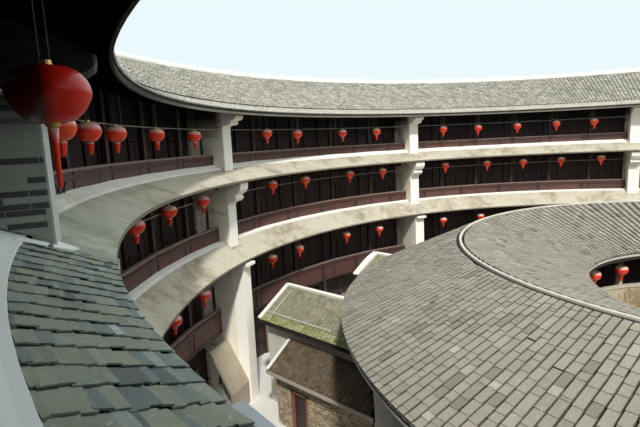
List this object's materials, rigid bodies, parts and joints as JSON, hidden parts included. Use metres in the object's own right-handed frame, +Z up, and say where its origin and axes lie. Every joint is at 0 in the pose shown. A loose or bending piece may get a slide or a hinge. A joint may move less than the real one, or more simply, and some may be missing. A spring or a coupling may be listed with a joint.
{
  "type": "tulou roundhouse, 1:2 scale model",
  "caption": "Round earth-walled communal house with timber galleries, masonry firewalls, skirt roofs and a low inner ring round a court, as a 1:2 scale model.",
  "frame": {"origin": "middle of the round house at ground level", "axes": "+Z up, -Y out through the gate, +X to the right seen from outside the gate"},
  "size_m": [30.9, 30.8048, 8.6],
  "materials": {
    "earth": "rammed earth, matt, with lift lines",
    "stone": "rough granite and rubble, matt",
    "plaster": "aged lime plaster over brick, matt",
    "timber": "dark red-brown aged timber, matt",
    "boards": "worn floor boards, matt",
    "tiles": "weathered grey clay tile, matt",
    "mortar": "pale lime mortar, matt",
    "lantern_cloth": "red silk, slightly glossy",
    "gilt": "gilt card and brass, satin"
  },
  "bodies": {
    "root": {"stone_plinth": "stone", "outer_wall_1": "earth", "outer_wall_2": "earth", "outer_wall_3": "earth", "outer_wall_4": "earth", "outer_wall_5": "earth", "outer_wall_6": "earth", "outer_wall_7": "earth", "outer_wall_8": "earth", "gate_frame": "stone", "firewall_1": "plaster", "firewall_2": "plaster", "firewall_3": "plaster", "firewall_4": "plaster", "firewall_5": "plaster", "firewall_6": "plaster", "firewall_7": "plaster", "firewall_8": "plaster", "gallery_floor_2": "boards", "gallery_floor_3": "boards", "gallery_floor_4": "boards", "gallery_kerb_3": "mortar", "gallery_kerb_4": "mortar", "room_front_1": "timber", "room_front_2": "timber", "room_front_3": "timber", "room_front_4": "timber", "gallery_parapet_2": "timber", "gallery_parapet_3": "timber", "gallery_parapet_4": "timber", "skirt_roof_lower": "tiles", "skirt_roof_upper": "tiles", "main_roof_inner_slope": "tiles", "main_roof_outer_slope": "tiles", "main_ridge": "mortar", "inner_ring_wall": "plaster", "inner_ring_floor": "boards", "inner_ring_front_1": "timber", "inner_ring_front_2": "timber", "inner_ring_posts": "timber", "inner_ring_balustrade": "stone", "inner_roof_outer_slope": "tiles", "inner_roof_court_slope": "tiles", "inner_ridge": "mortar", "porch_roof": "tiles", "porch_walls": "plaster", "side_house_roof": "tiles", "side_house_walls": "plaster", "lean_to_roof": "tiles", "lean_to_walls": "stone", "wall_store": "plaster"}
  },
  "joints": []
}
